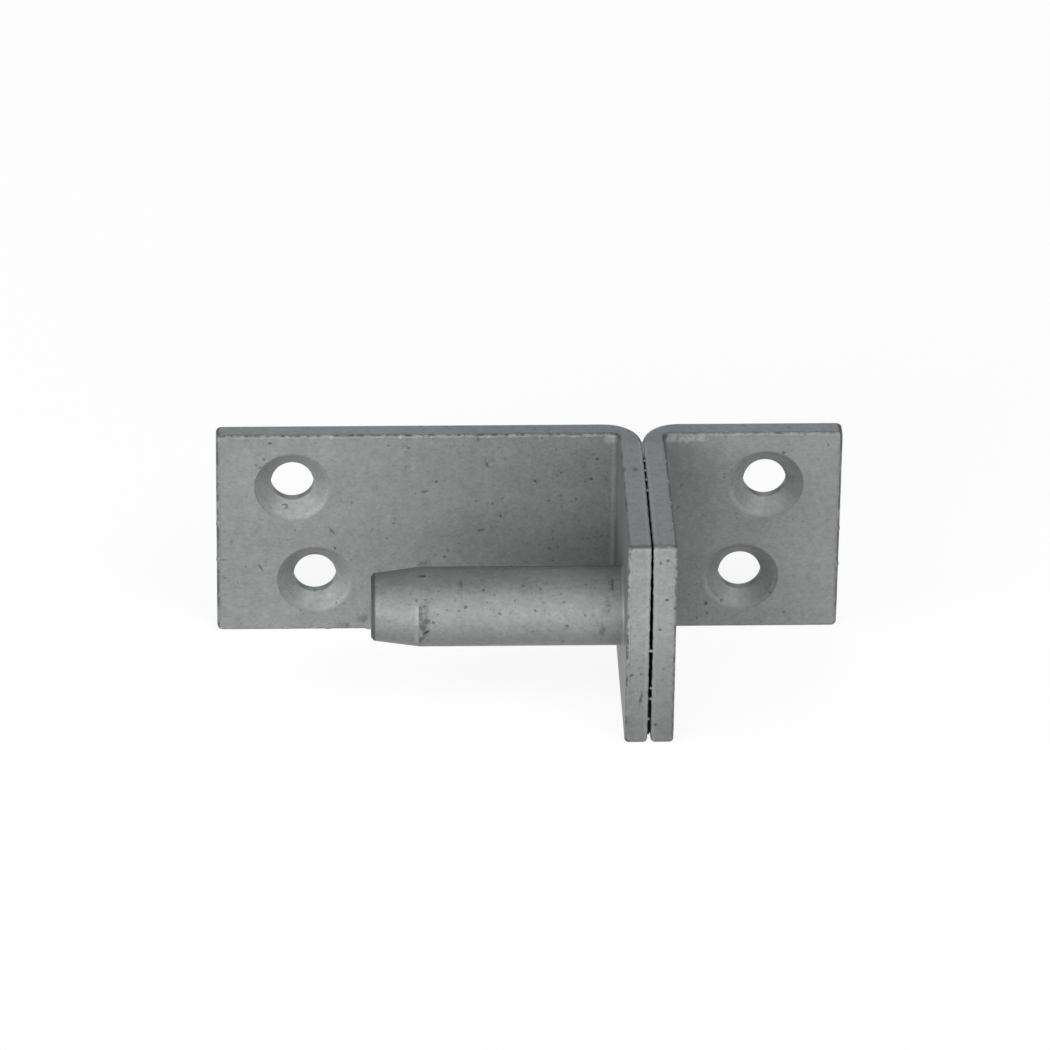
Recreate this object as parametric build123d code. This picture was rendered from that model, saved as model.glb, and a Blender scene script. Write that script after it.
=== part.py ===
from build123d import *
from math import radians, tan
import os

# Plate pintle: two leaves of flat bar, each bent square, stand back to back so that their bent ends make
# one doubled tab. A turned pin is riveted through that tab, and a gate hinge's eye drops over it.
# Millimetres. +X runs along the plates, away from the pin's free end, +Y goes into the wall, +Z is up.
# The origin is the middle of the screw pattern, on the wall face.

# Flat bar that both leaves are cut from
bar_width = 40.0
bar_thickness = 4.0
edge_radius = 0.7            # rolled edges, filled out by the zinc
end_corner_radius = 1.0      # corners of the sheared ends

# Leaves, each measured along the wall from its free end to its tab's outer face
long_leaf_length = 75.2
short_leaf_length = 35.7
tab_reach = 43.5             # from the wall face to the tab's free end
tab_gap = 0.1                # slit between the two tabs at the fold
tab_spread = 0.5             # how much wider the slit is at the free end, because one bend is a little open
bend_inner_radius = 1.2
bend_stretch = 1.3           # the outside of the bend is this much rounder than a bend of even thickness

# Countersunk screw holes, two in each leaf
screw_hole_diameter = 7.7
countersink_diameter = 12.7
countersink_angle = 90.0
countersink_rim_chamfer = 0.45  # the zinc softens the rim
upper_hole_end_distance = 13.5
lower_hole_end_distance = 17.5
hole_row_spacing = 19.0

# Hinge pin and its rivet
pin_diameter = 14.0
pin_length = 44.2            # from the tab to the free end
pin_offset = 29.5            # from the wall face to the pin's axis
pin_tip_chamfer = 0.5
lead_in_length = 8.5
lead_in_end_diameter = 11.7
lead_in_blend_radius = 2.0   # soft break between the straight part and the lead-in
shank_diameter = 10.0
rivet_head_diameter = 14.0
rivet_head_depth = 2.0
rivet_crown_height = 0.4     # the hammered end stands this proud of the tab
rivet_crown_diameter = 11.0
rivet_clearance = 0.05       # round the shank, and under the rivet's head

# Places along X that the pieces share
overall_length = long_leaf_length + tab_gap + short_leaf_length
long_free_end = -overall_length / 2
short_free_end = overall_length / 2
long_tab_face = long_free_end + long_leaf_length
short_tab_face = short_free_end - short_leaf_length
pin_seat = long_tab_face - bar_thickness
rivet_face = short_tab_face + tab_spread * pin_offset / tab_reach + bar_thickness


def bent_bar(free_end, tab_face, spread):
    """Bar with a plate on the wall from free_end to the bend, and a tab that stands off the wall.
    The tab's free end lies spread further along X than its foot."""
    plate_is_right = free_end > tab_face
    inner_face = tab_face + bar_thickness if plate_is_right else tab_face - bar_thickness
    bend_outer_radius = bend_inner_radius + bar_thickness + bend_stretch
    outline = Polyline(
        (free_end, 0),
        (tab_face, 0),
        (tab_face + spread, -tab_reach),
        (inner_face + spread, -tab_reach),
        (inner_face, -bar_thickness),
        (free_end, -bar_thickness),
        close=True,
    )
    plan = make_face(outline)
    plan = fillet(plan.vertices().sort_by_distance((tab_face, 0))[0], bend_outer_radius)
    plan = fillet(plan.vertices().sort_by_distance((inner_face, -bar_thickness))[0], bend_inner_radius)
    bar = extrude(plan, bar_width / 2, both=True)

    plate_corners = bar.edges().filter_by(Axis.Y).group_by(Axis.X)[-1 if plate_is_right else 0]
    tab_corners = bar.edges().filter_by(Axis.X).group_by(Axis.Y)[0]
    bar = fillet(plate_corners + tab_corners, end_corner_radius)
    return fillet(bar.edges().filter_by(is_sharp), edge_radius)


def is_sharp(edge):
    """True for an edge round a broad face. The seams of the bends are as long as the bar is wide, and
    those of the end corners as long as it is thick: there the faces already run smoothly together."""
    seam_lengths = (bar_width, bar_thickness)
    return all(abs(edge.length - seam) > edge_radius / 10 for seam in seam_lengths)


def countersunk_cutter(hole_diameter, sink_diameter, sink_depth):
    """Cutter that enters at z = 0 and goes up: a cone from the head's size to the hole's, then the bore.
    Below z = 0 it clears room for the head, because a tab that leans is not quite square to it."""
    from_base = (Align.CENTER, Align.CENTER, Align.MIN)
    sink = Cone(sink_diameter / 2, hole_diameter / 2, sink_depth, align=from_base)
    bore = Cylinder(hole_diameter / 2, 2 * bar_thickness, align=from_base)
    head_room = Cylinder(sink_diameter / 2, bar_thickness, align=(Align.CENTER, Align.CENTER, Align.MAX))
    return head_room + sink + bore


def drill_screw_holes(leaf, free_end):
    """The leaf's two countersunk holes, cut from the front. The upper one is nearer to the free end."""
    towards_tab = -1 if free_end > 0 else 1
    sink_depth = (countersink_diameter - screw_hole_diameter) / 2 / tan(radians(countersink_angle / 2))
    cutter = countersunk_cutter(screw_hole_diameter, countersink_diameter, sink_depth)
    upper = (free_end + towards_tab * upper_hole_end_distance, hole_row_spacing / 2)
    lower = (free_end + towards_tab * lower_hole_end_distance, -hole_row_spacing / 2)
    for hole_x, hole_z in (upper, lower):
        leaf -= Plane(origin=(hole_x, -bar_thickness, hole_z), x_dir=(1, 0, 0), z_dir=(0, 1, 0)) * cutter
    rims = leaf.edges().filter_by(GeomType.CIRCLE).filter_by(is_countersink_rim)
    return chamfer(rims, countersink_rim_chamfer)


def is_countersink_rim(edge):
    """True for the circle where a countersink opens in the plate's front face."""
    return abs(edge.radius - countersink_diameter / 2) < countersink_rim_chamfer / 10


def long_leaf():
    """The leaf beside the pin: its tab stands square and has a plain hole for the shank."""
    leaf = drill_screw_holes(bent_bar(long_free_end, long_tab_face, 0), long_free_end)
    shank_hole = Cylinder(shank_diameter / 2 + rivet_clearance, 2 * bar_thickness)
    return leaf - Plane(origin=(long_tab_face, -pin_offset, 0), z_dir=(1, 0, 0)) * shank_hole


def short_leaf():
    """The leaf behind the tab: its tab's far face is countersunk for the rivet's head."""
    leaf = drill_screw_holes(bent_bar(short_free_end, short_tab_face, tab_spread), short_free_end)
    rivet_hole = countersunk_cutter(
        shank_diameter + 2 * rivet_clearance, rivet_head_diameter + 2 * rivet_clearance, rivet_head_depth
    )
    return leaf - Plane(origin=(rivet_face, -pin_offset, 0), z_dir=(-1, 0, 0)) * rivet_hole


def pintle_pin():
    """One turned piece: lead-in, straight part, shoulder on the tab, shank, and the riveted head."""
    free_end = pin_seat - pin_length
    tip = (free_end, lead_in_end_diameter / 2)
    lead_in_edge = (free_end + lead_in_length, pin_diameter / 2)
    outline = Polyline(
        (free_end, 0),
        tip,
        lead_in_edge,
        (pin_seat, pin_diameter / 2),
        (pin_seat, shank_diameter / 2),
        (rivet_face - rivet_head_depth, shank_diameter / 2),
        (rivet_face, rivet_head_diameter / 2),
        (rivet_face + rivet_crown_height, rivet_crown_diameter / 2),
        (rivet_face + rivet_crown_height, 0),
        close=True,
    )
    half_section = make_face(outline)
    half_section = chamfer(half_section.vertices().sort_by_distance(tip)[0], pin_tip_chamfer)
    half_section = fillet(half_section.vertices().sort_by_distance(lead_in_edge)[0], lead_in_blend_radius)
    return Pos(0, -pin_offset, 0) * revolve(half_section, Axis.X)


os.makedirs("parts", exist_ok=True)
for make_piece in (long_leaf, short_leaf, pintle_pin):
    export_step(make_piece(), f"parts/{make_piece.__name__}.step")
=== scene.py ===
import math
from functools import reduce

import bmesh
import bpy
import numpy as np
from mathutils import Euler, Matrix, Vector


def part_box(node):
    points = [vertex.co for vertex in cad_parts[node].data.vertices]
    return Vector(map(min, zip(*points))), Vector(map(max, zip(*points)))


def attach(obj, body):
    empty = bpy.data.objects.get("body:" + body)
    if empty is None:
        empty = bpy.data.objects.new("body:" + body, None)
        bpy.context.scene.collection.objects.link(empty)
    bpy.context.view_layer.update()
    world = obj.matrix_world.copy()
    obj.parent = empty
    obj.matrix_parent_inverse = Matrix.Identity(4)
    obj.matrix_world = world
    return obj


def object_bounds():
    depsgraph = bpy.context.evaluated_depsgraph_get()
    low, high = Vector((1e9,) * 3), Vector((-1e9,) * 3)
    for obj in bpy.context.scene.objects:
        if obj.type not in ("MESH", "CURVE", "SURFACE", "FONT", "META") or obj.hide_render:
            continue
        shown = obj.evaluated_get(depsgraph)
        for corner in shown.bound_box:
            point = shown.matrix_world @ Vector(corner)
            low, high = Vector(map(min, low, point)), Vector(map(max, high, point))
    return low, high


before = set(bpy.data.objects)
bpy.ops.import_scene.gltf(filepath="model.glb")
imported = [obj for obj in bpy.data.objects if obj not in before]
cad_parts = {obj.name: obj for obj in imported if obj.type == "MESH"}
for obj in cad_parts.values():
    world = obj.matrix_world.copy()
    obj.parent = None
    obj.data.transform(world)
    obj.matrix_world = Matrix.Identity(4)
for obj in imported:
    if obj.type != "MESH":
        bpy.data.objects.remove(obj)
cad_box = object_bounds()


# Leaves. Two lengths of 40 x 4 mm flat bar, sheared, drilled, bent square and hot-dip galvanised.
# The dull zinc coat has faint clouds, fine grain, small dark pits and short scratches, and along its edges it is
# worn to pale and dark flecks. Places are in mm: x along the plates, y into the wall, z up.
# The coat also carries painted shade and painted highlights: towards the bends, in the countersinks, in the slit
# and on the tabs.
MM = 0.001
LEAF_END = cad_box[1].x / MM
PLATE_FRONT = -4.0
TAB_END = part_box("long_leaf")[0].y / MM
TAB_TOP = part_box("long_leaf")[1].z / MM
TAB_MIDDLE = 20.0  # x of the slit between the two tabs
MARK_DEPTH = 0.8
BEVEL = 0.3
ZINC_PALE = (0.303, 0.312, 0.306, 1)
ZINC_DULL = (0.196, 0.203, 0.199, 1)
# The worn colour below also paints highlights, and the dirt colour also paints shade.
ZINC_WORN_AND_HIGHLIGHT = (0.52, 0.53, 0.52, 1)
ZINC_DIRT_AND_SHADE = (0.03, 0.031, 0.031, 1)


class Wire:
    """One socket among a material's nodes, used as a value: arithmetic on it adds Math nodes."""

    def __init__(self, tree, socket=None):
        self.tree = tree
        self.socket = socket

    def node(self, kind, settings=None, sockets=None, output=0):
        """Adds a node of that kind. Its settings are set first, then its sockets take values or wires."""
        made = self.tree.nodes.new(kind)
        for name, value in (settings or {}).items():
            setattr(made, name, value)
        for key, value in (sockets or {}).items():
            if isinstance(value, Wire):
                self.tree.links.new(value.socket, made.inputs[key])
            else:
                made.inputs[key].default_value = value
        return Wire(self.tree, made.outputs[output] if made.outputs else None)

    def math(self, operation, *values):
        return self.node("ShaderNodeMath", {"operation": operation}, dict(enumerate(values)))

    def __add__(self, other):
        return self.math("ADD", self, other)

    def __sub__(self, other):
        return self.math("SUBTRACT", self, other)

    def __rsub__(self, other):
        return self.math("SUBTRACT", other, self)

    def __mul__(self, other):
        return self.math("MULTIPLY", self, other)

    def __abs__(self):
        return self.math("ABSOLUTE", self)

    __radd__ = __add__
    __rmul__ = __mul__

    def most(self, other):
        return self.math("MAXIMUM", self, other)

    def least(self, other):
        return self.math("MINIMUM", self, other)

    def step(self, start, end):
        """Goes smoothly from 0 where the value is start to 1 where it is end."""
        sockets = {0: self, 1: start, 2: end, 3: 0.0, 4: 1.0}
        return self.node("ShaderNodeMapRange", {"interpolation_type": "SMOOTHSTEP"}, sockets)

    def vector(self, operation, *others, output=0):
        """Vector Math on this vector and others."""
        sockets = dict(enumerate((self, *others)))
        return self.node("ShaderNodeVectorMath", {"operation": operation}, sockets, output)

    def scaled(self, factor):
        """This vector or colour times a number."""
        return self.node("ShaderNodeVectorMath", {"operation": "SCALE"}, {0: self, "Scale": factor})

    def part(self, axis):
        return self.node("ShaderNodeSeparateXYZ", None, {0: self}, axis)

    def between(self, first, second):
        """A colour that goes from the first to the second as this value goes from 0 to 1."""
        return self.node("ShaderNodeMix", {"data_type": "RGBA"}, {0: self, 6: first, 7: second}, 2)

    def noise(self, per_mm, detail=3.0, roughness=0.55, stretch=(1, 1, 1), shift=(0, 0, 0)):
        """Noise of about 0 to 1 on a place in mm, with per_mm waves to the millimetre, drawn out by stretch."""
        moved = self.node("ShaderNodeMapping", None, {0: self, 1: shift, 3: [1 / s for s in stretch]})
        sockets = {"Vector": moved, "Scale": per_mm, "Detail": detail, "Roughness": roughness}
        return self.node("ShaderNodeTexNoise", None, sockets)

    def spots(self, per_mm, radius, share, shift=(0, 0, 0)):
        """Round soft spots, up to radius mm, in a share of the cells of a random lattice."""
        moved = self.node("ShaderNodeMapping", None, {0: self, 1: shift})
        cells = self.node("ShaderNodeTexVoronoi", None, {"Vector": moved, "Scale": per_mm})
        chance = Wire(self.tree, cells.socket.node.outputs["Color"]).part(0)
        size = (chance - (1 - share)) * (radius * per_mm / share)
        soft_edge = 0.7 * radius * per_mm
        return (size - cells).step(0.0, soft_edge)

    def marks(self, centres, half_sizes, turn=(0, 0, 0)):
        """Soft spots in the form of equal ellipsoids, 1 in their middles. Sizes are in mm, turns in degrees."""
        turn = Euler([math.radians(angle) for angle in turn])
        sockets = {0: self, 2: turn, 3: half_sizes}
        local = self.node("ShaderNodeMapping", {"vector_type": "TEXTURE"}, sockets)
        distances = []
        for centre in centres:
            turned_back = turn.to_matrix().transposed() @ Vector(centre)
            middle = [along / half for along, half in zip(turned_back, half_sizes)]
            distances.append(local.vector("DISTANCE", middle, output=1))
        return reduce(Wire.least, distances).step(1.3, 0.4)


def first_wire(owner):
    """Empties the nodes of a material or of the world, and gives a wire to start new ones from."""
    owner.use_nodes = True
    owner.node_tree.nodes.clear()
    return Wire(owner.node_tree)


def zinc_coat(name, pits, marks_and_light):
    """Dull zinc: clouds and grain take its colour from dull to pale, and pits, worn edges, marks and painted
    light change it. The last argument is a function of the place in mm, of the same place made ragged, and of the
    normal. It gives three fields: how dark, from dirt, pits and painted shade; how pale, from worn zinc and
    painted highlights; and by what share painted light or painted shade makes the coat brighter or darker than
    the rest."""
    material = bpy.data.materials.new(name)
    start = first_wire(material)
    place = start.node("ShaderNodeTexCoord", output=3).scaled(1 / MM)
    normal = start.node("ShaderNodeTexCoord", output=1)
    swing = start.node("ShaderNodeTexNoise", None, {"Vector": place, "Scale": 1.6, "Detail": 3.0}, output=1)
    swing = swing.vector("SUBTRACT", (0.5, 0.5, 0.5))
    ragged = swing.vector("MULTIPLY_ADD", (0.9, 0.9, 0.9), place)

    dark, pale, painted_light = marks_and_light(place, ragged, normal)
    cloud = place.noise(0.12, detail=4.0, roughness=0.6)
    patch = place.noise(0.6, detail=4.0, roughness=0.65, shift=(31, 7, 3))
    fine = place.noise(1.7, detail=3.0, roughness=0.75, stretch=(1.4, 1, 1), shift=(5, 11, 2))
    grain = (cloud - 0.5) * 0.8 + (patch - 0.5) * 1.2 + (fine - 0.5) * 1.5 + 0.5

    dusty = place.noise(0.13, detail=3.0, shift=(2, 40, 9)).step(0.38, 0.6)
    pit = ragged.spots(0.34, 0.45, 0.6 * pits, (3, 1, 8))
    speck = ragged.spots(0.8, 0.4, 0.9 * pits, (9, 4, 5)) * dusty
    stipple = ragged.spots(1.9, 0.2, 0.7 * pits, (6, 8, 1))
    dark = together([dark, pit * 0.55, speck * 0.55, stipple * 0.4])

    # Painted light and painted shade make the coat's colour brighter or darker by a share.
    coat = grain.between(ZINC_DULL, ZINC_PALE).scaled(painted_light + 1.0)
    coat = dark.between(pale.between(coat, ZINC_WORN_AND_HIGHLIGHT), ZINC_DIRT_AND_SHADE)
    rough = (patch - 0.5) * 0.2 + dark * 0.3 + 0.5

    # The zinc rounds off the sharp rims of the countersinks, so the normals are softened on the plates. On the
    # tabs that would darken the seams of the lips.
    height = (fine - 0.5) * 0.5 + (patch - 0.5) * 0.5 - dark * 0.9 + pale * 0.4
    plate = place.part(1).step(PLATE_FRONT - 3.0, PLATE_FRONT - 2.0)
    sharp = start.node("ShaderNodeNewGeometry", output=1)
    round_off = start.node("ShaderNodeBevel", {"samples": 4}, {"Radius": BEVEL * MM})
    soft = start.node("ShaderNodeMix", {"data_type": "VECTOR"}, {0: plate, 4: sharp, 5: round_off}, 1)
    bump = start.node("ShaderNodeBump", None, {
        "Strength": 0.4, "Distance": 0.06 * MM, "Height": height, "Normal": soft,
    })
    shader = start.node("ShaderNodeBsdfPrincipled", None, {
        "Base Color": coat, "Metallic": 0.25, "Roughness": rough, "Normal": bump,
    })
    start.node("ShaderNodeOutputMaterial", None, {"Surface": shader})
    return material


def together(masks):
    """The largest of several masks."""
    return reduce(Wire.most, masks)


def bar_edges(place, normal):
    """Marks and painted light on the bar's rounded edges. On the plates a broken dark line with pale flecks below
    it, which are partly worn zinc and partly a painted highlight; on the tabs soft dark blotches; over the tab's
    end a thin broken dark line of painted shade; dark bits on the sheared ends; and dark bits along the outer
    sides of the tab's end, partly marks and partly painted shade. The edges on the slit stay clean and pale, and
    the slit itself is painted dark as shade. Gives how dark and how pale."""
    x, y, z = (place.part(axis) for axis in range(3))
    nx, ny, nz = (abs(normal.part(axis)) for axis in range(3))
    from_slit = abs(x - TAB_MIDDLE)
    broken = place.noise(0.55, detail=5.0, roughness=0.75, shift=(4, 4, 4))
    flecked = place.noise(0.8, detail=4.0, roughness=0.75, shift=(17, 6, 21))
    blotch = place.noise(0.25, detail=5.0, roughness=0.75, shift=(8, 2, 13))

    rim = abs(z).step(TAB_TOP - 1.0, TAB_TOP - 0.6)
    tab = y.step(PLATE_FRONT - 1.0, PLATE_FRONT - 3.5)
    slit_edge = from_slit.step(1.1, 0.8)
    over = nz.step(0.45, 0.7) * nz.step(0.97, 0.9)
    under = nz.step(0.05, 0.2) * nz.step(0.7, 0.4)
    # Painted shade: a thin dark line along the rounded edge over the tab's end.
    end_shade = y.step(TAB_END + 1.2, TAB_END + 0.7) * rim * nz.step(0.5, 0.7) * nz.step(0.98, 0.9)
    sheared = abs(x).step(LEAF_END - 0.8, LEAF_END - 0.4) * nx.step(0.99, 0.9) * nx.step(0.2, 0.5)
    # Along the outer sides of the tab's end the dark bits are partly marks and partly painted shade.
    tab_sides = y.step(TAB_END + 0.8, TAB_END + 0.4) * ny.step(0.98, 0.85) * from_slit.step(3.2, 3.6)
    # Painted shade: the faces inside the slit, back from the tab's end and below its top, are darkened.
    slit_shade = from_slit.step(0.5, 0.35) * y.step(TAB_END + 0.4, TAB_END + 0.8)
    slit_shade = slit_shade * z.step(TAB_TOP - 0.7, TAB_TOP - 1.0)

    dark = together([
        rim * over * broken.step(0.42, 0.6) * (1 - tab) * 0.75,
        rim * over * blotch.step(0.42, 0.7) * tab * (1 - slit_edge) * 0.55,
        end_shade * broken.step(0.3, 0.5) * 0.6,
        sheared * blotch.step(0.34, 0.55) * 0.7,
        tab_sides * broken.step(0.46, 0.58) * 0.65,
        slit_shade * 0.9,
    ])
    # The pale flecks below the plates' top edges are partly worn zinc and partly a painted highlight.
    pale = rim * under * flecked.step(0.53, 0.64) * broken.step(0.6, 0.45) * (1 - tab) * 0.6
    return dark, pale.most(slit_edge * tab * 0.12)


def leaf_painted_light(place, normal, bend_start, bend_end):
    """Painted light and shade on a leaf's coat: painted shade towards the bend, painted shade in the upper half
    of a countersink and a painted highlight in its lower half, painted shade on the sides of its rim and most on
    the side that looks to the bend, painted shade in the inside of the bend and a little on the tab's top, and on
    the tab's end a painted highlight high up that turns to painted shade downwards."""
    x, y, z = (place.part(axis) for axis in range(3))
    nx, ny, nz = (normal.part(axis) for axis in range(3))
    facing = ny * -1
    to_bend = nx if bend_end > bend_start else nx * -1
    bend = x.step(bend_start, bend_end)
    sink = y.step(PLATE_FRONT + 0.03, PLATE_FRONT + 0.25) * facing.step(0.3, 0.6)
    sink = sink * (nz * 0.3 + nz.least(0.0) * 0.15 + 0.08)
    rim = y.step(PLATE_FRONT - 0.2, PLATE_FRONT - 0.1) * facing.step(0.99, 0.96) * facing.step(0.8, 0.88)
    rim = rim * (abs(nx) * 0.12 + to_bend.most(0.0) * 0.68 - nz.least(0.0) * 0.5)
    tab_end = y.step(TAB_END + 0.9, TAB_END + 0.2)
    tab_top = nz.step(0.8, 0.95) * y.step(PLATE_FRONT - 2.0, PLATE_FRONT - 5.0)
    fold = abs(nx * ny).step(0.1, 0.4)
    fold = fold * y.step(PLATE_FRONT, PLATE_FRONT - 0.3) * y.step(PLATE_FRONT - 3.0, PLATE_FRONT - 2.0)
    return (sink - rim - bend * (1 - tab_end) * (1 - tab_top) * 0.2 - tab_top * 0.06 - fold * 0.25
            + tab_end * (z.step(-19, 6) * 0.44 - 0.33))


def on_front(place, face, spots, half_sizes, tilt=0):
    """Marks at (x, z) spots on a face that looks to the front, which is PLATE_FRONT or TAB_END."""
    across, up = half_sizes
    return place.marks([(x, face, z) for x, z in spots], (across, MARK_DEPTH, up), (0, tilt, 0))


def long_leaf_marks_and_light(place, ragged, normal):
    """Edges, pits, scratches and smudges of the long leaf, its painted light and shade, and a painted highlight
    at the top of the bend.
    """
    edge_dark, edge_pale = bar_edges(place, normal)
    pits = on_front(ragged, PLATE_FRONT, [
        (12, 15), (11, 11), (1, 10.5), (-16.5, 10.5), (-5, 3.5), (-15, -5), (-34.5, -3), (-46, 18.5),
    ], (0.32, 0.32))
    small = on_front(ragged, PLATE_FRONT, [
        (-6.5, 6), (-4.7, 7), (5.7, 12.2), (3.8, -3.4), (4.5, -5.9), (-48.5, 14), (-47, 15.3), (-9.3, 6.4),
        (-25, 18), (-21.5, 17.5),
    ], (0.26, 0.26))
    flats = on_front(ragged, PLATE_FRONT, [(-18.5, 8.5), (-8.5, 0.5)], (0.8, 0.34), -15)
    slants = on_front(ragged, PLATE_FRONT, [(-35, 0.5), (-7.5, 14), (-47.6, -7)], (0.24, 1.1), -35)
    speckled = ragged.spots(1.3, 0.36, 0.8, (4, 2, 6))
    pocked = place.part(0).step(-16, 2) * place.part(1).step(PLATE_FRONT - 2.0, PLATE_FRONT - 1.0) * 0.7
    cluster = on_front(ragged, PLATE_FRONT, [(5, 5.5), (0.5, 10.2), (-50.5, -9), (3, 0)], (3.2, 1.8))
    cluster = cluster.most(pocked) * speckled
    smudged = ragged.noise(0.9, detail=6.0, roughness=0.8).step(0.35, 0.65)
    smudge = on_front(ragged, PLATE_FRONT, [(-18.5, -6.5), (-29.5, -17.6), (-33, -19)], (1.4, 1.0)) * smudged
    top_marks = ragged.marks([(16.1, -16.6, TAB_TOP), (18.1, -16.6, TAB_TOP)], (0.5, 0.9, 0.9))
    tab_scratch = on_front(ragged, TAB_END, [(18.4, -10.6)], (0.24, 1.3), 8)
    tab_pit = on_front(ragged, TAB_END, [(16.7, -6)], (0.35, 0.35))
    dark = together([
        edge_dark, pits * 0.75, small * 0.6, flats * 0.55, slants * 0.55, cluster * 0.55, smudge * 0.55,
        top_marks * 0.45, tab_scratch.most(tab_pit) * 0.7,
    ])
    # Painted highlight: a pale spot where the plate's top edge swells at the inner corner of the bend.
    bulge_highlight = on_front(ragged, PLATE_FRONT, [(14.2, 18.9)], (1.2, 0.9)) * 0.3
    return dark, edge_pale.most(bulge_highlight), leaf_painted_light(place, normal, -34, 12)


def short_leaf_marks_and_light(place, ragged, normal):
    """Edges, pits and knocks of the short leaf, its painted light and shade, and a painted highlight on its top
    edge beside the bend.
    """
    edge_dark, edge_pale = bar_edges(place, normal)
    pits = on_front(ragged, PLATE_FRONT, [(45, 16), (32, -15)], (0.34, 0.34))
    small = on_front(ragged, PLATE_FRONT, [
        (32.3, -17), (46, -17), (30.5, -18), (27, 9.5), (26.5, 5), (53, 17.5),
    ], (0.32, 0.32))
    tab_pits = on_front(ragged, TAB_END, [
        (21.3, 16.8), (22.6, 17.2), (22.5, 9.3), (21.5, 3.3), (21, -16), (24.2, 15.5), (24.2, 13.4), (24.1, 7.5),
        (24.2, 3.5), (24.2, -2.5),
    ], (0.34, 0.34))
    speckled = ragged.spots(1.5, 0.36, 0.9, (1, 5, 7))
    knock = on_front(ragged, TAB_END, [(23.4, 13), (23.3, 7), (23.6, 1), (22, -5)], (0.7, 2.4)) * speckled
    dark = together([edge_dark * 0.8, pits * 0.7, small * 0.5, tab_pits * 0.65, knock * 0.7])
    # Painted highlight: a pale patch on the plate's top edge beside the bend.
    bend_highlight = on_front(ragged, PLATE_FRONT, [(25.3, 18.9), (27.4, 18.8), (29.8, 19)], (1.8, 0.75))
    bend_highlight = bend_highlight * ragged.noise(1.2, detail=5.0, roughness=0.7).step(0.38, 0.58)
    return dark, (edge_pale * 0.5).most(bend_highlight * 0.46), leaf_painted_light(place, normal, 38, 25)


def dress(node_name, zinc):
    """Gives a CAD node one material."""
    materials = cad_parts[node_name].data.materials
    materials.clear()
    materials.append(zinc)


long_zinc = zinc_coat("long_leaf_zinc", 1.0, long_leaf_marks_and_light)
short_zinc = zinc_coat("short_leaf_zinc", 0.5, short_leaf_marks_and_light)
dress("long_leaf", long_zinc)
dress("short_leaf", short_zinc)


# Hinge pin. Turned from round bar with a tapered lead-in, riveted through both tabs and dipped with them.
# Its coat is the same dull zinc, with knocks where the lead-in starts and hammer dents on the riveted end.
# Painted shade darkens its top and underside, and a painted highlight lies on the lead-in.
PIN_RADIUS = 7.0
PIN_AXIS_Y = -29.5
PIN_TIP = -28.5
LEAD_IN = -20.0  # x where the lead-in starts
RIVET_FACE = 24.1


def on_pin(place, spots, half_sizes, tilt=0):
    """Marks on the pin, at (x, angle) spots: the angle in degrees goes up from the side that faces the front."""
    along, around = half_sizes
    centres = []
    for x, degrees in spots:
        angle = math.radians(degrees)
        centres.append((x, PIN_AXIS_Y - PIN_RADIUS * math.cos(angle), PIN_RADIUS * math.sin(angle)))
    return place.marks(centres, (along, around, around), (0, tilt, 0))


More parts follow.
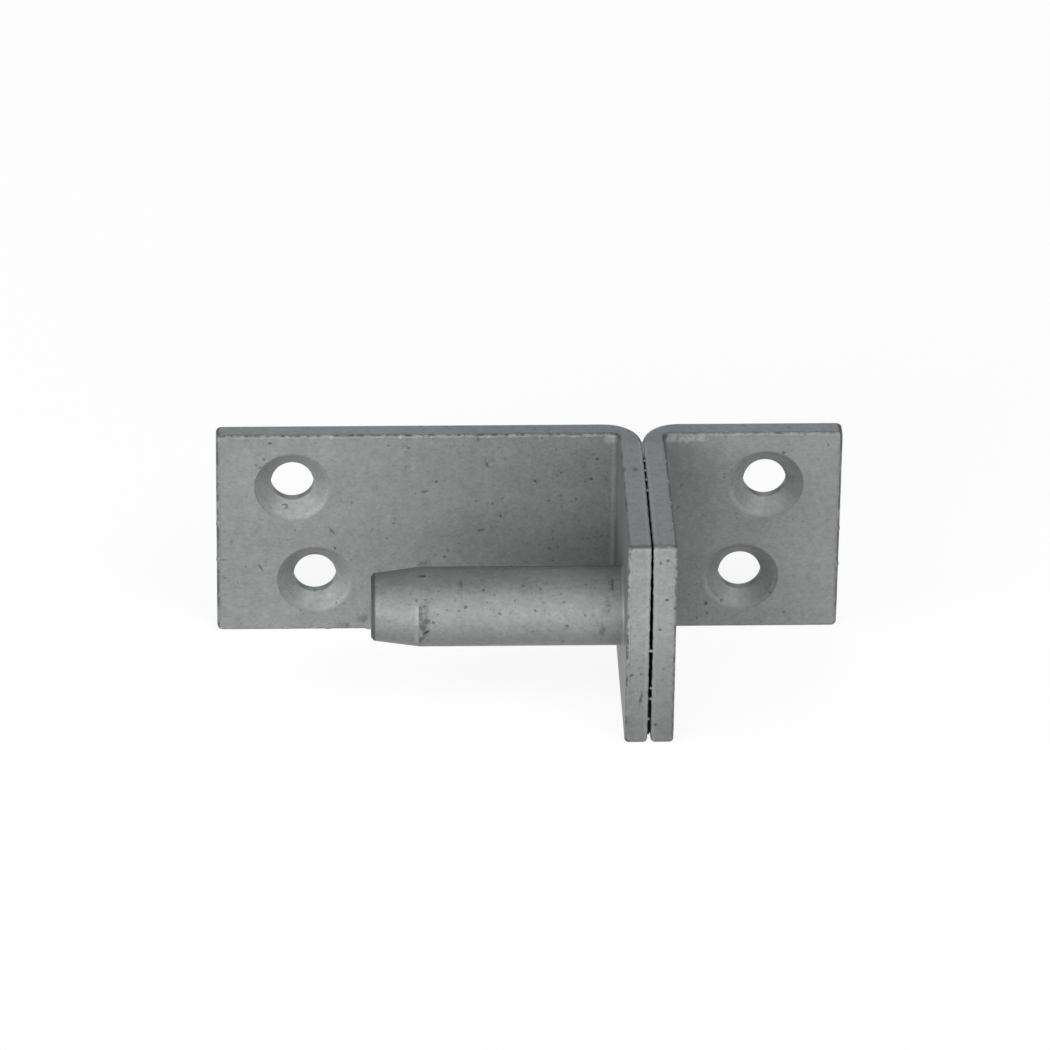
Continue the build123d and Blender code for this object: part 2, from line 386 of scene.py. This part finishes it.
def pin_marks_and_light(place, ragged, normal):
    """Edges, pits, gouges and smudges of the pin, the shallow dents of the hammer on its riveted end, and a
    painted highlight on the front of the lead-in next to where it starts. Painted light and shade make its coat a
    little brighter in front, darker towards the top and much darker underneath."""
    x, z = place.part(0), place.part(2)
    broken = place.noise(0.6, detail=5.0, roughness=0.75)
    flat_end = abs(normal.part(0)).step(0.8, 0.95)
    tip = x.step(PIN_TIP + 0.9, PIN_TIP + 0.4) * (1 - flat_end) * broken.step(0.25, 0.45) * 0.75
    dents = ragged.spots(0.5, 1.1, 1.0, (2, 7, 3)) * x.step(RIVET_FACE - 0.5, RIVET_FACE + 0.1) * 0.22
    front = normal.part(1).step(-0.6, -0.9)
    brink = x.step(LEAD_IN - 0.4, LEAD_IN - 0.1) * x.step(LEAD_IN + 2.2, LEAD_IN + 0.4)
    brink = brink * broken.step(0.43, 0.57) * front * 0.6
    # Painted highlight: a broken pale line on the front of the lead-in, just short of where it starts.
    brim_highlight = x.step(LEAD_IN - 1.2, LEAD_IN - 0.6) * x.step(LEAD_IN - 0.2, LEAD_IN - 0.4)
    brim_highlight = brim_highlight * front * broken.step(0.38, 0.55) * 0.26
    pits = on_pin(ragged, [(-20.6, 40), (-17.7, 7), (-9, 55), (-12, 30), (5.7, 0), (5, -33)], (0.36, 0.36))
    small = on_pin(ragged, [
        (-7, 48), (-15.3, 25), (-2, 61), (5, 35), (0, 24), (9, 62), (-24.5, -12), (-26, 30), (-23, -25),
    ], (0.28, 0.28))
    gouge = on_pin(place, [(-19.0, -9.5)], (0.95, 0.3), -38)
    scratch = on_pin(ragged, [(-19.4, 80)], (1.2, 0.26), 8)
    speckled = ragged.spots(1.4, 0.34, 0.8, (4, 2, 6))
    patch = on_pin(ragged, [(-19.2, 14), (-13, 38), (-8, 40), (-4, 32), (1, 45), (9.5, 12)], (1.8, 2.6))
    patch = patch.most(broken.step(0.45, 0.6) * 0.8) * speckled
    knock = on_pin(ragged, [(-19.5, -1), (-19.0, 8)], (0.8, 0.9)) * broken.step(0.3, 0.5)
    nick = on_pin(ragged, [(13.6, 62)], (0.28, 1.5))
    smudges = on_pin(ragged, [(12.6, 30), (11.8, -8), (-13, 62)], (0.6, 1.8)) * broken.step(0.42, 0.6)
    dark = together([
        tip, dents, brink, pits * 0.6, small * 0.5, gouge * 0.95, scratch * 0.75, patch * 0.6, knock * 0.65,
        nick * 0.6, smudges * 0.5,
    ])
    # Painted light and shade: a little brighter in front, darker towards the top, much darker underneath.
    painted_light = 0.08 - z.step(2.8, 5.5) * 0.13 + z.step(6.2, 6.9) * 0.06 - z.step(2.0, -4.0) * 0.36
    return dark, brim_highlight, painted_light


pin_zinc = zinc_coat("pin_zinc", 1.4, pin_marks_and_light)
dress("pintle_pin", pin_zinc)


# Zinc that stayed on the pieces as they were lifted from the bath. It fills the edges along the slit, closes the
# slit near the fold and bridges it with small webs further out, makes a ring round the pin's foot, hangs in the
# screw holes, swells the edges of the bar and leaves two beads.
SKIN = 0.012  # how far zinc stands over the steel where it only covers it
SLIT_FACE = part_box("long_leaf")[1].x / MM
SLIT_AT_FOLD, SLIT_SPREAD = 0.1, 0.5
LIP_START_Y, LIP_FOOT_Z = -6.8, -18.4
END_CORNER = 1.0
PIN_SEAT = SLIT_FACE - 4.0
HOLE_RADIUS = 3.85
CONE_FOOT = -1.5
EDGE_RADIUS = 0.7
UP, DOWN, FRONT, LEFT, RIGHT = (0, 0, 1), (0, 0, -1), (0, -1, 0), (-1, 0, 0), (1, 0, 0)


def in_scene(name, data):
    """A new object at the origin, linked to the scene."""
    thing = bpy.data.objects.new(name, data)
    bpy.context.scene.collection.objects.link(thing)
    return thing


def closed_mesh(name, grids, material):
    """One piece from closed surfaces given as arrays of (surface, row, column, xyz) in mm: rows and columns make
    quads, the last column joins the first, and equal points are merged, which closes the poles."""
    count, rows, columns, _ = grids.shape
    corner = np.arange(count * rows * columns).reshape(count, rows, columns)
    here, beside = corner[:, :-1], np.roll(corner, -1, axis=2)[:, :-1]
    below, across = corner[:, 1:], np.roll(corner, -1, axis=2)[:, 1:]
    quads = np.stack([here, beside, across, below], axis=-1).reshape(-1, 4)
    mesh = bpy.data.meshes.new(name)
    mesh.from_pydata((grids * MM).reshape(-1, 3).tolist(), [], quads.tolist())
    shaped = bmesh.new()
    shaped.from_mesh(mesh)
    bmesh.ops.remove_doubles(shaped, verts=shaped.verts, dist=1e-7)
    bmesh.ops.recalc_face_normals(shaped, faces=shaped.faces)
    shaped.to_mesh(mesh)
    shaped.free()
    mesh.shade_smooth()
    mesh.materials.append(material)
    piece = in_scene(name, mesh)
    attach(piece, "root")


def beads(centres, half_sizes, rows=13, columns=24):
    """Ellipsoids: a centre plus each half size times the unit sphere's point at a latitude and a longitude."""
    latitude = np.linspace(-np.pi / 2, np.pi / 2, rows)[:, None]
    longitude = np.linspace(0, 2 * np.pi, columns, endpoint=False)[None, :]
    width = np.cos(latitude)
    width[[0, -1]] = 0
    ball = np.stack(np.broadcast_arrays(
        width * np.cos(longitude), width * np.sin(longitude), np.sin(latitude)), axis=-1)
    return np.array(centres)[:, None, None] + np.array(half_sizes)[:, None, None] * ball


def slit_width(y):
    """Width of the slit, which grows evenly from the wall face to the tab's end."""
    return SLIT_AT_FOLD + SLIT_SPREAD * y / TAB_END


def slit_middle(y):
    """Middle of the slit, half its width from the long leaf's face."""
    return SLIT_FACE + 0.5 * slit_width(y)


def lip(side):
    """Zinc that fills the rounded edge of one tab along the slit. Its section is a corner with a small rounding,
    carried along the tab's top, round the corner of its end by an arc, and down the end. Side is 1 for the long
    leaf, whose slit face looks along +X, and -1 for the short one. The corner wavers by a sum of three sines, and
    the short leaf's swells by a bell curve round the tab's outer corner, which narrows the slit there. Both ends
    run to a point in the core of the section."""
    top_run = np.linspace(LIP_START_Y, TAB_END + END_CORNER, 120)
    turn = np.linspace(0, np.pi / 2, 12)[1:]
    end_run = np.linspace(TAB_TOP - END_CORNER, LIP_FOOT_Z, 130)[1:]
    y = np.concatenate([top_run, TAB_END + END_CORNER * (1 - np.sin(turn)), np.full(end_run.shape, TAB_END)])
    z = np.concatenate([np.full(top_run.shape, TAB_TOP), TAB_TOP - END_CORNER * (1 - np.cos(turn)), end_run])
    lean = np.concatenate([np.zeros(top_run.shape), turn, np.full(end_run.shape, np.pi / 2)])
    face = SLIT_FACE + slit_width(y) * (side < 0)

    out = np.array([-0.06, SKIN, SKIN, SKIN, 0.0, -0.08, -0.24, -0.45, -0.75, -0.84, -0.5])
    across = np.array([-0.84, -0.8, -0.74, -0.4, -0.2, -0.06, 0.0, SKIN, SKIN, -0.06, -0.5])
    near_corner = np.array([0, 0, 0, 0, 0.5, 1, 1, 1, 0, 0, 0])
    along = np.cumsum(np.hypot(np.diff(y, prepend=y[0]), np.diff(z, prepend=z[0])))
    waver = 0.03 * (np.sin(1.7 * along) + np.sin(3.1 * along + side) + np.sin(5.9 * along + 2))
    if side < 0:
        waver = waver + 0.25 * np.exp(-((along - 34.0) / 14.0) ** 2)
    out = out[None, :] * np.ones((len(y), 1))
    across = across[None, :] + waver[:, None] * near_corner
    core = -0.4
    out[[0, -1]], across[[0, -1]] = core, core
    points = np.stack([
        face[:, None] + side * across,
        y[:, None] - np.sin(lean)[:, None] * out,
        z[:, None] + np.cos(lean)[:, None] * out,
    ], axis=-1)
    return points[None]


def foot_ring(reach, rows=9, columns=96):
    """Ring in the corner between the pin and the tab: its section is a hollow quarter circle that leaves the pin
    at one end and the tab at the other, closed inside the metal, and turned about the pin's axis."""
    t = np.linspace(0, np.pi / 2, rows)
    inside = -0.3
    away = np.concatenate([[inside], reach * (1 - np.sin(t)), [inside, inside]])
    radius = PIN_RADIUS + np.concatenate([[inside], reach * (1 - np.cos(t)), [reach - 0.1, inside]])
    angle = np.linspace(0, 2 * np.pi, columns, endpoint=False)
    points = np.stack(np.broadcast_arrays(
        (PIN_SEAT - away)[:, None],
        PIN_AXIS_Y + radius[:, None] * np.cos(angle),
        radius[:, None] * np.sin(angle),
    ), axis=-1)
    return points[None]


def hole_sags(holes, length=0.6, thickness=0.24, rows=41, columns=20):
    """Zinc that hangs on the upper edge of the bores of screw holes, given as (x, z), and carries the
    countersink's cone a little further in. At an angle round the bore its section is a long ellipse that lies
    along the cone, just under its surface. It shrinks with the root of the angle's sine and ends in points."""
    around = np.linspace(0, np.pi, rows)[:, None]
    section = np.linspace(0, 2 * np.pi, columns, endpoint=False)[None, :]
    share = np.sqrt(np.abs(np.sin(around)))
    share[[0, -1]] = 0
    down_cone = share * (0.1 + length * np.cos(section)) / np.sqrt(2)
    into_metal = (share * thickness * (1 + np.sin(section)) - SKIN) / np.sqrt(2)
    radius = HOLE_RADIUS - down_cone + into_metal
    depth = CONE_FOOT + down_cone + into_metal
    sag = np.stack(np.broadcast_arrays(radius * np.cos(around), depth, radius * np.sin(around)), axis=-1)
    return np.array([(x, 0, z) for x, z in holes])[:, None, None] + sag


def edge_swells(edges, height, rows=240, columns=13):
    """Zinc swelled along rounded edges of the bar. Each edge is given by the two ends of its rounding's middle
    line and by the ways its two faces look. Its section is a quarter circle that stands out by a rise times the
    squared sine of twice the angle, so it leaves both faces smoothly. The rise is the square of a sum of three
    sines, where that is above 0, and dies away towards the ends. The section closes inside the metal."""
    start, end, first, second = (np.array(group, float)[:, None, None] for group in zip(*edges))
    share = np.linspace(0, 1, rows)[None, :, None, None]
    turn = np.linspace(0, np.pi / 2, columns)[None, None, :, None]
    along = share * np.linalg.norm(end - start, axis=-1, keepdims=True)
    number = np.arange(len(edges))[:, None, None, None]
    lumps = np.sin(0.8 * along + number) + np.sin(1.7 * along + 3 * number) + np.sin(2.6 * along + 5 * number)
    rise = height * np.clip(lumps, 0, None) ** 2 * np.sin(np.pi * share)
    radius = EDGE_RADIUS + SKIN + rise * np.sin(2 * turn) ** 2
    middle = start + share * (end - start)
    inside = middle - 0.2 * (first + second)
    skin = middle + radius * (np.cos(turn) * first + np.sin(turn) * second)
    points = np.concatenate([skin, inside], axis=2)
    points[:, [0, -1]] = inside[:, [0, -1]]
    return points


closed_mesh("long_leaf_lip", lip(1), long_zinc)
closed_mesh("short_leaf_lip", lip(-1), short_zinc)

# Each web across the slit is a centre and its half sizes.
web_z = TAB_TOP - 0.3
web_y = TAB_END + 0.35
end_x = slit_middle(TAB_END)
fold_fill = [((slit_middle(-9.0), -9.0, web_z), (0.3, 2.9, 0.27))]
top_webs = [((slit_middle(y), y, web_z), (0.35, 0.22, 0.27)) for y in (-13.2, -16.6, -19.8, -23.6)]
broad_web = [((end_x, web_y, -1.1), (0.45, 0.33, 0.26))]
end_webs = [((end_x + aside, web_y, z), (0.3, 0.33, 0.24))
            for aside, z in ((0.2, -8.7), (0.15, -10.9), (-0.2, -15.0))]
# The web low in the slit stands 3 mm back from the tab's end and shuts out the floor behind it, so the slit shows
# dark there: a zinc sheet put in to stand in for shade.
slit_blind = [((end_x, TAB_END + 3.0, -16.4), (0.5, 0.6, 3.5))]
web_centres, web_sizes = zip(*fold_fill, *top_webs, *broad_web, *end_webs, *slit_blind)
closed_mesh("slit_zinc", beads(web_centres, web_sizes), long_zinc)

closed_mesh("pin_foot_zinc", foot_ring(0.5), pin_zinc)
closed_mesh("long_leaf_bead", beads([(-43.4, -2.5, 4.8)], [(0.6, 0.5, 0.45)]), long_zinc)
closed_mesh("long_leaf_hole_zinc", hole_sags([(-42, 9.5), (-38, -9.5)]), long_zinc)
closed_mesh("short_leaf_hole_zinc", hole_sags([(42, 9.5), (38, -9.5)]), short_zinc)

long_edges = [
    ((-53.5, -3.3, 19.3), (13.5, -3.3, 19.3), UP, FRONT),
    ((-53.5, -3.3, -19.3), (13.5, -3.3, -19.3), DOWN, FRONT),
    ((-54.8, -3.3, 18), (-54.8, -3.3, -18), LEFT, FRONT),
    ((16.4, -42.8, 18), (16.4, -42.8, -18), LEFT, FRONT),
]
short_edges = [
    ((23.6, -42.8, 18), (23.6, -42.8, -18), RIGHT, FRONT),
    ((54.8, -3.3, 18), (54.8, -3.3, -18), RIGHT, FRONT),
    ((26, -3.3, 19.3), (53.5, -3.3, 19.3), UP, FRONT),
    ((23.2, -7, 19.3), (23.55, -41.5, 19.3), RIGHT, UP),
]
closed_mesh("long_leaf_edge_zinc", edge_swells(long_edges, 0.035), long_zinc)
closed_mesh("short_leaf_edge_zinc", edge_swells(short_edges, 0.045), short_zinc)
closed_mesh("short_leaf_bead", beads([(34.8, -3.6, -14.7)], [(0.35, 0.3, 0.3)]), short_zinc)


# Floor. A pale sheet of paper. The part stands on it with the zinc on its lower edge, and it keeps the part's
# soft shadow and runs out to white.
FLOOR_HALF = 12.0
PAPER_DULL = (0.78, 0.78, 0.78, 1)
PAPER_PALE = (0.82, 0.82, 0.82, 1)
SEEN_SHARE = 0.8  # how much of the floor that is seen is plain white, and so without shadow
SEEN_STRENGTH = 1.12
floor_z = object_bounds()[0][2]
floor_corners = [(x * FLOOR_HALF, y * FLOOR_HALF, floor_z) for x, y in ((-1, -1), (1, -1), (1, 1), (-1, 1))]
floor_mesh = bpy.data.meshes.new("floor")
floor_mesh.from_pydata(floor_corners, [], [(0, 1, 2, 3)])
floor = in_scene("floor", floor_mesh)


def seen_or_mirrored(start):
    """1 for a ray that shows the background: seen straight, in a reflection or through something clear."""
    rays = ("Is Camera Ray", "Is Glossy Ray", "Is Transmission Ray")
    return together([start.node("ShaderNodeLightPath", output=ray) for ray in rays])


paper = bpy.data.materials.new("pale_floor")
sheet = first_wire(paper)
shade = sheet.node("ShaderNodeTexCoord", output=3).noise(300.0).between(PAPER_DULL, PAPER_PALE)
matt = sheet.node("ShaderNodeBsdfDiffuse", None, {"Color": shade})
lit = sheet.node("ShaderNodeEmission", None, {"Color": (1, 1, 1, 1), "Strength": SEEN_STRENGTH})
whole = sheet.node("ShaderNodeMixShader", None, {0: seen_or_mirrored(sheet) * SEEN_SHARE, 1: matt, 2: lit})
sheet.node("ShaderNodeOutputMaterial", None, {"Surface": whole})
floor_mesh.materials.append(paper)


# Light. Five soft boxes stand in front, three low and two high, a cool one behind skims the narrow tops, and the
# room itself is dim.
SOFT_BOXES = (  # name, azimuth, elevation, watts, colour
    ("low_left", -40, 9, 27.5, (1, 1, 1)),
    ("low_middle", 0, 6, 6.5, (1, 1, 1)),
    ("low_right", 32, 7, 11.0, (1, 1, 1)),
    ("high_left", -50, 48, 9.0, (1, 1, 1)),
    ("high_right", 32, 50, 13.0, (1, 1, 1)),
    ("behind", 180, 16, 12.3, (0.82, 0.9, 1)),
)
BOX_DISTANCE = 2.0
BOX_WIDTH, BOX_HEIGHT = 1.4, 1.0
BOX_AIM = Vector((0, -20, 0)) * MM
ROOM_COLOUR = (0.72, 0.84, 1.0, 1)
ROOM_STRENGTH = 0.02


def direction(azimuth, elevation):
    """Unit vector from the part outwards, by degrees round from the front and above the level."""
    a, e = math.radians(azimuth), math.radians(elevation)
    return Vector((math.sin(a) * math.cos(e), -math.cos(a) * math.cos(e), math.sin(e)))


for name, azimuth, elevation, watts, colour in SOFT_BOXES:
    outwards = direction(azimuth, elevation)
    lamp = bpy.data.lights.new(name, "AREA")
    lamp.shape = "RECTANGLE"
    lamp.size = BOX_WIDTH
    lamp.size_y = BOX_HEIGHT
    lamp.energy = watts
    lamp.color = colour
    box = in_scene(name, lamp)
    box.location = BOX_AIM + outwards * BOX_DISTANCE
    box.rotation_euler = outwards.to_track_quat("Z", "Y").to_euler()

world = bpy.data.worlds.new("studio")
room = first_wire(world)
sky = room.node("ShaderNodeBackground", None, {"Color": ROOM_COLOUR, "Strength": ROOM_STRENGTH})
room.node("ShaderNodeOutputWorld", None, {"Surface": sky})
bpy.context.scene.world = world


# Camera. It stands well back on a long lens, a little left of the part's front and 30 degrees above it,
# and is turned a little about its own axis, as the photo is.
IMAGE_SIDE = 1050
FOCAL_PIXELS = 8000
AZIMUTH, ELEVATION, ROLL = -2.3557, 30.331, 0.7996
TARGET = Vector((-1.091, -15.0, 7.9313)) * MM
DISTANCE = 1411.0 * MM
back = direction(AZIMUTH, ELEVATION)
level = Vector((math.cos(math.radians(AZIMUTH)), math.sin(math.radians(AZIMUTH)), 0))
upright = back.cross(level)
roll = math.radians(ROLL)
right = level * math.cos(roll) + upright * math.sin(roll)
up = upright * math.cos(roll) - level * math.sin(roll)
lens = bpy.data.cameras.new("camera")
lens.sensor_width = 36.0
lens.lens = lens.sensor_width * FOCAL_PIXELS / IMAGE_SIDE
lens.clip_start = 0.05
camera = in_scene("camera", lens)
turned = Matrix((right, up, back)).transposed().to_4x4()
camera.matrix_world = Matrix.Translation(TARGET + back * DISTANCE) @ turned
bpy.context.scene.camera = camera
bpy.context.scene.view_settings.view_transform = "Standard"
